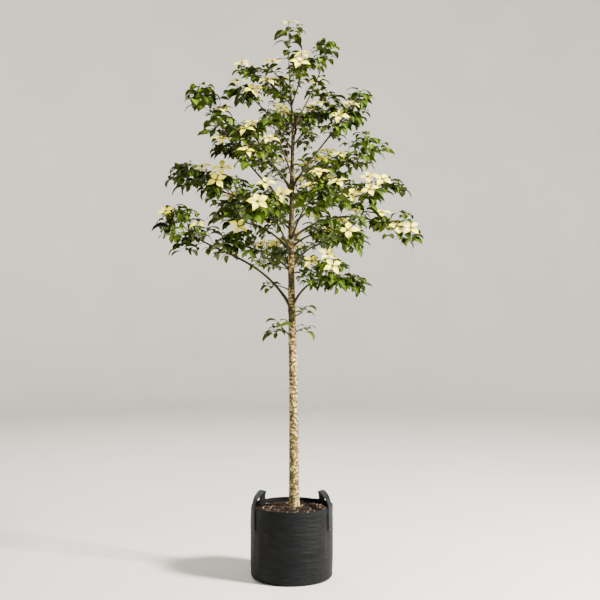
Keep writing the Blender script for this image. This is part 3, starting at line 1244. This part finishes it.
def mulch_chips(material):
    radii = np.linspace(STREWN["from"], STREWN["to"], STREWN["rings"])
    skin = Skin()
    faces = ring_faces(STREWN["rings"], STREWN["sides"], closed_ends=False)
    skin.add(level_rings(radii, mulch_height(radii), STREWN["sides"]), faces)
    numbers = {
        "Chips per square metre": MULCH["chips"], "Length": MULCH["long"] * MM, "Width": MULCH["wide"] * MM,
        "Thickness": MULCH["thick"] * MM, "Tilt": MULCH["tilt"], "Seed": MULCH["seed"],
    }
    return made_by(chip_tree(material), skin.object("strewn_ground"), "mulch_chips", numbers)


# ---- Materials ----
def per_metre(millimetres):
    """A pattern's scale from the size of its feature."""
    return 1000 / millimetres


def new_material(name, **surface):
    """A material of one surface shader with some of its inputs set, and its node tree."""
    material = bpy.data.materials.new(name)
    material.use_nodes = True
    for label, value in surface.items():
        socket = material.node_tree.nodes["Principled BSDF"].inputs[label.replace("_", " ")]
        socket.default_value = as_socket(value)
    return material, material.node_tree


def finished(material, colour, relief=None, strength=1, depth=1):
    """The material with its colour and, where it has one, its relief with a depth in millimetres."""
    tree = material.node_tree
    shader = tree.nodes["Principled BSDF"]
    tree.links.new(colour, shader.inputs["Base Color"])
    if relief is not None:
        raised = add_node(
            tree, "ShaderNodeBump", {"Height": relief, "Strength": strength, "Distance": depth * MM})
        tree.links.new(raised[0], shader.inputs["Normal"])
    return material


def object_noise(tree, size, stretch=(1, 1, 1), detail=3):
    """Noise with features of a size, stretched along axes by the object's own coordinates."""
    spot = add_node(tree, "ShaderNodeTexCoord")["Object"]
    scaled = add_node(tree, "ShaderNodeMapping", {"Vector": spot, "Scale": stretch})[0]
    return add_node(tree, "ShaderNodeTexNoise", {
        "Vector": scaled, "Scale": per_metre(size), "Detail": detail})[0]


def mottled(tree, size, *stops, stretch=(1, 1, 1), detail=3):
    """Tones, or the greys of a mask, that shift over features of a size."""
    noisy = object_noise(tree, size, stretch, detail)
    return add_node(tree, "ShaderNodeValToRGB", {"Fac": noisy}, stops)[0]


def surface_places(tree):
    """The piece's own surface: X runs along a blade, and Y runs across it, past 0.5 on its underside."""
    surface = add_node(tree, "ShaderNodeUVMap", uv_map="surface")[0]
    return add_node(tree, "ShaderNodeSeparateXYZ", {"Vector": surface})


def ripples(tree, along, rate):
    """Waves from -1 to 1 along a value."""
    turn = add_node(tree, "ShaderNodeMath", {0: along, 1: rate}, operation="MULTIPLY")[0]
    return add_node(tree, "ShaderNodeMath", {0: turn}, operation="SINE")[0]


BARK_TOP = 2600
BARK_WANDER = 35  # how far up and down the zones' edges wander
BARK_TONES = {
    "pale": "#b09e70", "collar": "#625c36", "tan": "#98885e", "dark": "#5e5436", "buff": "#bea876",
    "olive": "#4c4424",
}
BARK_ZONES = (  # height up the trunk, and its tone
    (344, "pale"), (1225, "pale"), (1255, "collar"), (1300, "collar"), (1330, "tan"), (1385, "tan"),
    (1418, "dark"), (1475, "dark"), (1505, "buff"), (1625, "buff"), (1690, "dark"), (1800, "olive"),
    (BARK_TOP, "olive"),
)


def thin_bark():
    """Young bark that flakes in thin plates, and quite dull.

    It is pale low down, darker at a collar under the lowest limbs, tan, dark and buff by turns above that,
    and olive at the top. Dark lichen and pale scars fleck it all over. Real flecks are a few millimetres
    wide. They are drawn coarser so that they show.
    """
    material, tree = new_material("thin_flaking_bark", Roughness=0.86, Specular_IOR_Level=0.15)
    spot = add_node(tree, "ShaderNodeTexCoord")["Object"]
    height = add_node(tree, "ShaderNodeSeparateXYZ", {"Vector": spot})["Z"]
    wander = add_node(
        tree, "ShaderNodeMath", {0: object_noise(tree, 40), 1: 2 * BARK_WANDER * MM, 2: -BARK_WANDER * MM},
        operation="MULTIPLY_ADD")[0]
    level = add_node(tree, "ShaderNodeMath", {0: height, 1: wander}, operation="ADD")[0]
    share = add_node(tree, "ShaderNodeMath", {0: level, 1: BARK_TOP * MM}, operation="DIVIDE")[0]
    stops = [(at / BARK_TOP, BARK_TONES[tone]) for at, tone in BARK_ZONES]
    zones = add_node(tree, "ShaderNodeValToRGB", {"Fac": share}, stops)[0]
    flecks = mottled(
        tree, 14, (0.42, "#1d1b0f"), (0.47, "#48432b"), (0.53, "#a59c7a"), (0.59, "#ffffff"),
        stretch=(1, 1, 1.3), detail=4)
    flecked = add_node(
        tree, "ShaderNodeMix", {0: 0.9, 6: zones, 7: flecks}, data_type="RGBA", blend_type="MULTIPLY")[2]
    scars = mottled(tree, 7, (0.55, 0), (0.62, 1), stretch=(1, 1, 0.6), detail=2)
    scarred = add_node(
        tree, "ShaderNodeMix", {0: scars, 6: flecked, 7: "#f6f0d8"}, data_type="RGBA",
        blend_type="SOFT_LIGHT")[2]
    patches = mottled(tree, 48, (0.46, 0), (0.62, 0.38), stretch=(1, 1, 0.6), detail=2)
    olive = add_node(tree, "ShaderNodeMix", {0: patches, 6: scarred, 7: "#3c3820"}, data_type="RGBA")[2]
    return finished(material, olive, object_noise(tree, 9, (1, 1, 0.5), 4), 0.9, 2)


def bough_bark():
    """Smooth dark olive-brown bark of limbs, with paler pores."""
    material, tree = new_material("smooth_bough_bark", Roughness=0.74, Specular_IOR_Level=0.25)
    tone = mottled(tree, 45, (0.35, "#221d10"), (0.65, "#39321c"))
    pores = mottled(tree, 6, (0.62, 0), (0.7, 0.6))
    spotted = add_node(tree, "ShaderNodeMix", {0: pores, 6: tone, 7: "#5f5433"}, data_type="RGBA")[2]
    return finished(material, spotted, object_noise(tree, 4), 0.4, 0.8)


def twig_bark():
    """This year's and last year's wood: brown going green, faintly glossy."""
    material, tree = new_material("green_brown_twig", Roughness=0.55)
    return finished(material, mottled(tree, 60, (0.35, "#3d331e"), (0.65, "#485024")))


LEAF_COLOURS = {
    "deep": ("#131f03", "#1f2e05"), "middle": ("#1f2f05", "#2f4407"), "fresh": ("#304607", "#435a0b"),
    "young": ("#4a5e10", "#60761c"),
}
LEAF_VEINS = {"rate": 38.0, "lean": -1.5}


def leaf_blade(tone):
    """A soft waxy leaf: a gentle gloss, sunken veins that curve to the tip, and a paler dull underside."""
    dark, light = LEAF_COLOURS[tone]
    material, tree = new_material(
        "waxy_leaf_" + tone, Roughness=0.55, IOR=1.42, Specular_IOR_Level=0.16, Specular_Tint="#e4ecb4")
    parts = surface_places(tree)
    tint = add_node(
        tree, "ShaderNodeMix", {0: object_noise(tree, 130), 6: dark, 7: light}, data_type="RGBA")[2]
    off = add_node(tree, "ShaderNodeMath", {0: parts["Y"], 1: BLADE_SIDES["top"]}, operation="SUBTRACT")[0]
    aside = add_node(tree, "ShaderNodeMath", {0: off}, operation="ABSOLUTE")[0]
    lean = add_node(
        tree, "ShaderNodeMath", {0: aside, 1: LEAF_VEINS["lean"], 2: parts["X"]}, operation="MULTIPLY_ADD")[0]
    veins = ripples(tree, lean, LEAF_VEINS["rate"])
    lines = add_node(tree, "ShaderNodeValToRGB", {"Fac": veins}, ((0.8, 0), (1.0, 0.5)))[0]
    veined = add_node(tree, "ShaderNodeMix", {0: lines, 6: tint, 7: light}, data_type="RGBA")[2]
    midrib = add_node(tree, "ShaderNodeValToRGB", {"Fac": aside}, ((0.008, 0.7), (0.02, 0)))[0]
    top = add_node(tree, "ShaderNodeMix", {0: midrib, 6: veined, 7: "#828e3a"}, data_type="RGBA")[2]
    below = add_node(
        tree, "ShaderNodeMath", {0: parts["Y"], 1: BLADE_SIDES["border"]}, operation="GREATER_THAN")[0]
    pale = add_node(tree, "ShaderNodeMix", {0: 0.4, 6: tint, 7: "#54642a"}, data_type="RGBA")[2]
    both = add_node(tree, "ShaderNodeMix", {0: below, 6: top, 7: pale}, data_type="RGBA")[2]
    return finished(material, both, lines, 0.25, 0.6)


BRACT_VEINS = 130.0


def cream_bract():
    """A thick petal-like bract: lemon cream, green at its foot, with faint veins and a soft gloss."""
    material, tree = new_material("cream_bract", Roughness=0.55, Specular_IOR_Level=0.25)
    parts = surface_places(tree)
    body = add_node(tree, "ShaderNodeValToRGB", {"Fac": parts["X"]}, (
        (0.0, "#6f8c24"), (0.1, "#9cac38"), (0.2, "#f9ed4a"), (0.8, "#fef55a"), (1.0, "#f0e052")))[0]
    lines = ripples(tree, parts["Y"], BRACT_VEINS)
    soft = add_node(tree, "ShaderNodeValToRGB", {"Fac": lines}, ((0.2, 0), (1.0, 0.22)))[0]
    veined = add_node(tree, "ShaderNodeMix", {0: soft, 6: body, 7: "#e6dc6c"}, data_type="RGBA")[2]
    return finished(material, veined, lines, 0.15, 0.5)


def flower_head():
    """The true flowers, a tight green and ochre knob."""
    material, tree = new_material("green_flower_head", Roughness=0.7)
    return finished(material, mottled(tree, 4, (0.4, "#3d4a12"), (0.6, "#806414")))


THREAD_MM = 2.6  # Real threads are under a millimetre apart. They are drawn coarser so that they show.
RIB_MM = 2.2  # The webbing's ribs, also drawn coarser.


def woven(tree, thread):
    """Over and under threads on the surface's own coordinates, as a height."""
    parts = surface_places(tree)
    over, under = [ripples(tree, parts[axis], math.pi * per_metre(thread)) for axis in ("X", "Y")]
    return add_node(tree, "ShaderNodeMath", {0: over, 1: under}, operation="MULTIPLY")[0]


def black_fabric():
    """Woven black polypropylene: near-black with a cold gloss, scuffed grey along its fine wrinkles."""
    material, tree = new_material(
        "woven_polypropylene", Roughness=0.55, Specular_IOR_Level=0.11, Specular_Tint="#dfe4ec")
    dust = mottled(tree, 90, (0.35, "#08090a"), (0.7, "#0f1012"), stretch=(1, 1, 2.2), detail=5)
    scuffs = mottled(tree, 16, (0.58, 0), (0.8, 0.4), stretch=(0.22, 0.22, 2))
    worn = add_node(tree, "ShaderNodeMix", {0: scuffs, 6: dust, 7: "#2a2c2f"}, data_type="RGBA")[2]
    wrinkles = object_noise(tree, 13, (0.25, 0.25, 2.2), 4)
    weave = woven(tree, THREAD_MM)
    cloth = add_node(
        tree, "ShaderNodeMath", {0: weave, 1: 0.12, 2: wrinkles}, operation="MULTIPLY_ADD")[0]
    return finished(material, worn, cloth, 0.9, 3)


def black_webbing():
    """Flat nylon webbing: tight ribs across it, a little bluer and paler than the bag."""
    material, tree = new_material(
        "nylon_webbing", Roughness=0.55, Specular_IOR_Level=0.17, Specular_Tint="#dde3ec")
    tone = mottled(tree, 40, (0.35, "#0b0d10"), (0.7, "#171b20"))
    return finished(material, tone, woven(tree, RIB_MM), 0.6, 0.5)


def sewing_thread():
    """Bonded polyester thread, dark grey and slightly shiny."""
    material, tree = new_material("polyester_thread", Roughness=0.4)
    return finished(material, mottled(tree, 30, (0.3, "#1d2022"), (0.7, "#34383b")))


def bark_chips():
    """Shredded conifer bark: rough dull chips from near-black brown to weathered tan."""
    material, tree = new_material("shredded_bark", Roughness=0.9, Specular_IOR_Level=0.2)
    tint = add_node(tree, "ShaderNodeAttribute", attribute_name="tint")["Fac"]
    tone = add_node(tree, "ShaderNodeValToRGB", {"Fac": tint}, (
        (0.0, "#070504"), (0.4, "#1b120c"), (0.68, "#38291f"), (0.87, "#5b493a"), (1.0, "#94816c")))[0]
    grain = mottled(tree, 5, (0.35, "#4c352a"), (0.65, "#ffffff"))
    grained = add_node(
        tree, "ShaderNodeMix", {0: 0.55, 6: tone, 7: grain}, data_type="RGBA", blend_type="MULTIPLY")[2]
    return finished(material, grained, object_noise(tree, 3), 0.5, 1)


def damp_mulch():
    """Finer, darker bark crumbs between the chips, quite dull."""
    material, tree = new_material("bark_crumbs", Roughness=0.95)
    tone = mottled(tree, 9, (0.35, "#0e0907"), (0.7, "#2b1c15"))
    return finished(material, tone, object_noise(tree, 6), 0.8, 3)


def studio_floor():
    """Pale matt paper."""
    material, tree = new_material("pale_paper", Roughness=0.85)
    return finished(material, mottled(tree, 900, (0.3, "#d3d1cc"), (0.7, "#d9d7d2")))


# ---- The pieces, each riding on the plant and standing for its solids ----
def place(piece, slot, material, *nodes):
    """A finished piece: its material, what it rides on, its slot and the solids that it stands for."""
    if material is not None:
        piece.data.materials.clear()
        piece.data.materials.append(material)
    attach(piece, "root")
    if nodes:
        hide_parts(*nodes)


BOUGHS = ["bough_" + limb["name"] for limb in limbs if limb["bare"]]
MASSES = ["mass_" + limb["name"] for limb in limbs] + ["mass_leader"]

place(trunk_bark(), "bark", thin_bark(), "trunk")
place(boughs_bark(), "bark", bough_bark(), *BOUGHS, *MASSES)
for tone_name, leafy in leaf_pieces().items():
    place(leafy, "foliage", leaf_blade(tone_name), *MASSES)
bract_piece, head_piece = blossom_pieces()
place(bract_piece, "foliage", cream_bract(), *MASSES)
place(head_piece, "foliage", flower_head(), *MASSES)
place(twig_skin.object("twigs"), "foliage", twig_bark(), *MASSES)

place(fabric_bag(), "bag_fabric", black_fabric(), "bag")
webbing = black_webbing()
for strap_name, strap_turn in HANDLE_TURNS.items():
    place(webbing_handle("webbing_" + strap_name, strap_turn), "strap_webbing", webbing, strap_name)
place(stitches(sewing_thread()), "strap_webbing", None)
place(mulch_mound(), "bark_mulch", damp_mulch(), "soil")
place(mulch_chips(bark_chips()), "bark_mulch", None)


# ---- Studio, in metres ----
ROOM = {"floor": 8.0, "cove": 3.0, "height": 9.0, "sides": 96, "cove_rings": 13, "inner": (0.05, 3)}
WORLD = {"colour": "#eef1f4", "strength": 0.55}
CAMERA = {"at": (0.040, -5.09, 1.35), "lens": 62.5, "film": 36.0}
CROWN_MIDDLE = (0, 0, 1.4)
SOFTBOXES = (  # name, where it hangs, its power, its width and its colour
    ("key_softbox", (4.9, -2.4, 4.4), 2850, 1.1, "#fff9ee"),
    ("fill_softbox", (-3.8, -3.6, 2.4), 22, 2.4, "#eef3ff"),
    ("back_softbox", (-2.0, 4.6, 4.6), 230, 2.0, "#fff6ea"),
)


def paper_room():
    """A pale paper floor that curves up all round into a wall, open above, so that no edge shows behind."""
    cove = np.radians(np.linspace(0, 90, ROOM["cove_rings"]))
    wall = ROOM["floor"] + ROOM["cove"]
    radii = np.concatenate([ROOM["inner"], ROOM["floor"] + ROOM["cove"] * np.sin(cove), [wall]])
    heights = np.concatenate([[0, 0], ROOM["cove"] * (1 - np.cos(cove)), [ROOM["height"]]])
    quads, middle, _ = ring_faces(len(radii), ROOM["sides"])
    skin = Skin()
    skin.add(level_rings(radii, heights, ROOM["sides"]) / MM, [quads, middle])
    room = skin.object("studio_floor")
    room.data.materials.append(studio_floor())


def soft_light(name, at, power, width, colour):
    """A square softbox that looks at the middle of the crown."""
    light = bpy.data.lights.new(name, "AREA")
    light.energy = power
    light.size = width
    light.color = linear(colour)[:3]
    made = in_the_scene(name, light)
    made.location = at
    made.rotation_euler = (Vector(CROWN_MIDDLE) - Vector(at)).to_track_quat("-Z", "Y").to_euler()


def pale_world():
    world = bpy.data.worlds.new("pale_room")
    world.use_nodes = True
    sky = world.node_tree.nodes["Background"]
    sky.inputs["Color"].default_value = linear(WORLD["colour"])
    sky.inputs["Strength"].default_value = WORLD["strength"]
    bpy.context.scene.world = world


def level_camera():
    camera = bpy.data.cameras.new("camera")
    camera.lens = CAMERA["lens"]
    camera.sensor_width = CAMERA["film"]
    made = in_the_scene("camera", camera)
    made.location = CAMERA["at"]
    made.rotation_euler = (math.radians(90), 0, 0)
    bpy.context.scene.camera = made


paper_room()
pale_world()
level_camera()
for softbox in SOFTBOXES:
    soft_light(*softbox)
